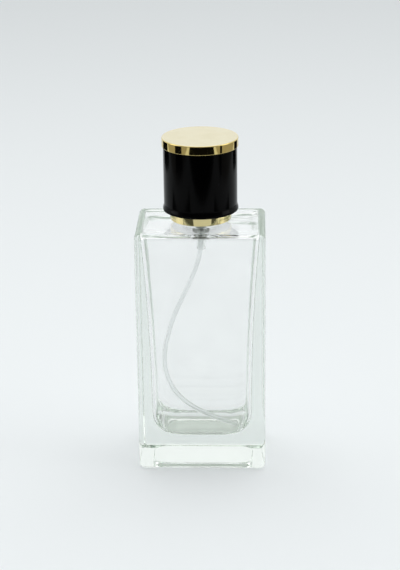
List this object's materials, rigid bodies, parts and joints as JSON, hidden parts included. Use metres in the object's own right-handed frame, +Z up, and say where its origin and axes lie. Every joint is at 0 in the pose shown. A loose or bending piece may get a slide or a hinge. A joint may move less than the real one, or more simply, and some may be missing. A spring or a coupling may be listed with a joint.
{
  "type": "spray bottle",
  "caption": "Empty rectangular clear glass aftershave spray bottle with thick walls, gold collar, black cap with gold lid, crimped pump and curved dip tube",
  "frame": {"origin": "middle of the bottle's base, on the plane it stands on", "axes": "+Z up along the bottle, +X to the right across its wide front, -Y towards the front where the spray nozzle points"},
  "size_m": [0.054, 0.0384, 0.1428],
  "materials": {
    "clear_glass": "clear, slightly green in the thick edges, polished",
    "black_plastic": "glossy black",
    "gold_metal": "gold anodised, polished",
    "ferrule_metal": "gold lacquered sheet",
    "white_plastic": "natural white moulding",
    "clear_plastic": "translucent natural tube",
    "grey_rubber": "soft grey",
    "spring_steel": "drawn wire"
  },
  "bodies": {
    "bottle": {"glass_bottle": "clear_glass", "collar_shell": "gold_metal", "collar_retainer": "white_plastic", "crimp_ferrule": "ferrule_metal", "neck_gasket": "grey_rubber", "pump_housing": "white_plastic", "housing_closure": "white_plastic", "stem_seal": "grey_rubber", "return_spring": "spring_steel", "dip_tube": "clear_plastic"},
    "cap": {"cap_shell": "black_plastic", "cap_lid": "gold_metal", "cap_liner": "white_plastic"},
    "stem": {"stem": "white_plastic", "piston_rod": "white_plastic", "precompression_spring": "spring_steel"},
    "actuator": {"actuator_core": "white_plastic", "actuator_shell": "gold_metal", "nozzle_insert": "white_plastic"},
    "piston": {"piston": "white_plastic"},
    "check_ball": {"check_ball": "spring_steel"}
  },
  "joints": [
    {"name": "cap_lift", "type": "slide", "parent": "bottle", "child": "cap", "axis": [0, 0, 1], "range_m": [0, 0.04]},
    {"name": "press", "type": "slide", "parent": "bottle", "child": "stem", "axis": [0, 0, -1], "range_m": [0, 0.0045], "stiffness_N_per_m": 2500, "springref_m": -0.001, "deforming": ["return_spring"]},
    {"name": "button_turn", "type": "hinge", "parent": "stem", "child": "actuator", "pos_m": [0, 0, 0.1275], "axis": [0, 0, 1], "continuous": true},
    {"name": "piston_travel", "type": "slide", "parent": "bottle", "child": "piston", "axis": [0, 0, -1], "range_m": [0, 0.0039], "deforming": ["precompression_spring"]},
    {"name": "ball_lift", "type": "slide", "parent": "bottle", "child": "check_ball", "axis": [0, 0, 1], "range_m": [0, 0.001]}
  ],
  "couplings": [
    {"joint": "piston_travel", "follows": "press", "ratio": 0.86667}
  ]
}
